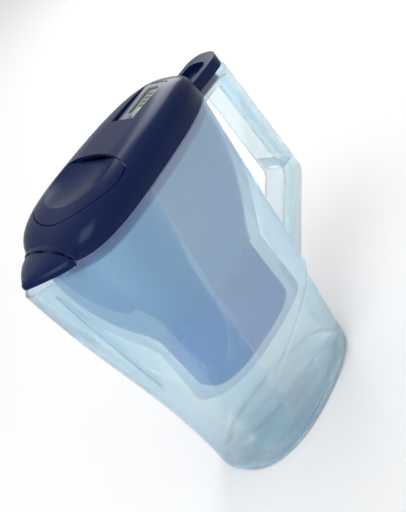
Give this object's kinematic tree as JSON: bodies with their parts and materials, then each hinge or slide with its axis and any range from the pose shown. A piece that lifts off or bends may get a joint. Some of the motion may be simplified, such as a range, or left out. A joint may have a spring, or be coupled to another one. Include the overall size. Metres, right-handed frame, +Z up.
{
  "type": "water filter pitcher",
  "caption": "Clear jug with a handle, a frosted lift-out funnel holding an oval filter cartridge, and a dark domed lid with a refill flap, a spout flap and a filter timer.",
  "frame": {"origin": "middle of the flat base, on the surface the jug stands on", "axes": "+Z up, -X towards the spout, +X towards the handle, Y across the jug"},
  "size_m": [0.258, 0.1078, 0.2764],
  "materials": {
    "clear_plastic": "clear gloss",
    "frosted_plastic": "frosted",
    "lid_plastic": "satin gloss",
    "bezel_plastic": "satin",
    "window_plastic": "clear gloss",
    "display_glass": "satin",
    "button_plastic": "satin",
    "cartridge_plastic": "satin",
    "seal_rubber": "matt",
    "granules": "granular",
    "screen_mesh": "woven mesh",
    "spring_steel": "drawn wire",
    "board_laminate": "satin",
    "cell_steel": "brushed",
    "contact_brass": "plain"
  },
  "bodies": {
    "jug_body": {"jug": "clear_plastic"},
    "funnel_body": {"funnel": "frosted_plastic"},
    "cartridge_body": {"cartridge_housing": "cartridge_plastic", "cartridge_cap": "cartridge_plastic", "cartridge_seal": "seal_rubber", "filter_media": "granules", "top_screen": "screen_mesh", "bottom_screen": "screen_mesh"},
    "lid_body": {"lid_shell": "lid_plastic", "flap_spring": "spring_steel", "indicator_bezel": "bezel_plastic", "lcd_panel": "display_glass", "indicator_window": "window_plastic", "indicator_housing": "bezel_plastic", "indicator_gasket": "seal_rubber", "circuit_board": "board_laminate", "coin_cell": "cell_steel", "battery_contacts": "contact_brass", "button_dome": "seal_rubber"},
    "refill_flap_body": {"refill_flap": "lid_plastic"},
    "spout_flap_body": {"spout_flap": "lid_plastic"},
    "button_body": {"start_button": "button_plastic"}
  },
  "joints": [
    {"name": "funnel_lift", "type": "slide", "parent": "jug_body", "child": "funnel_body", "axis": [0, 0, 1], "range_m": [0, 0.19]},
    {"name": "cartridge_lift", "type": "slide", "parent": "funnel_body", "child": "cartridge_body", "axis": [0, 0, 1], "range_m": [0, 0.19]},
    {"name": "lid_lift", "type": "slide", "parent": "cartridge_body", "child": "lid_body", "axis": [0, 0, 1], "range_m": [0, 0.06]},
    {"name": "refill_flap_hinge", "type": "hinge", "parent": "lid_body", "child": "refill_flap_body", "pos_m": [-0.002, 0, 0.2642], "axis": [0, -1, 0], "range_deg": [0, 35], "stiffness_Nm_per_rad": 0.02, "springref_deg": -34.38},
    {"name": "spout_flap_hinge", "type": "hinge", "parent": "lid_body", "child": "spout_flap_body", "pos_m": [-0.078, 0, 0.2545], "axis": [0, 1, 0], "range_deg": [0, 38]},
    {"name": "start_button_press", "type": "slide", "parent": "lid_body", "child": "button_body", "axis": [0, 0, -1], "range_m": [0, 0.0008], "stiffness_N_per_m": 400, "springref_m": -0.0008}
  ]
}
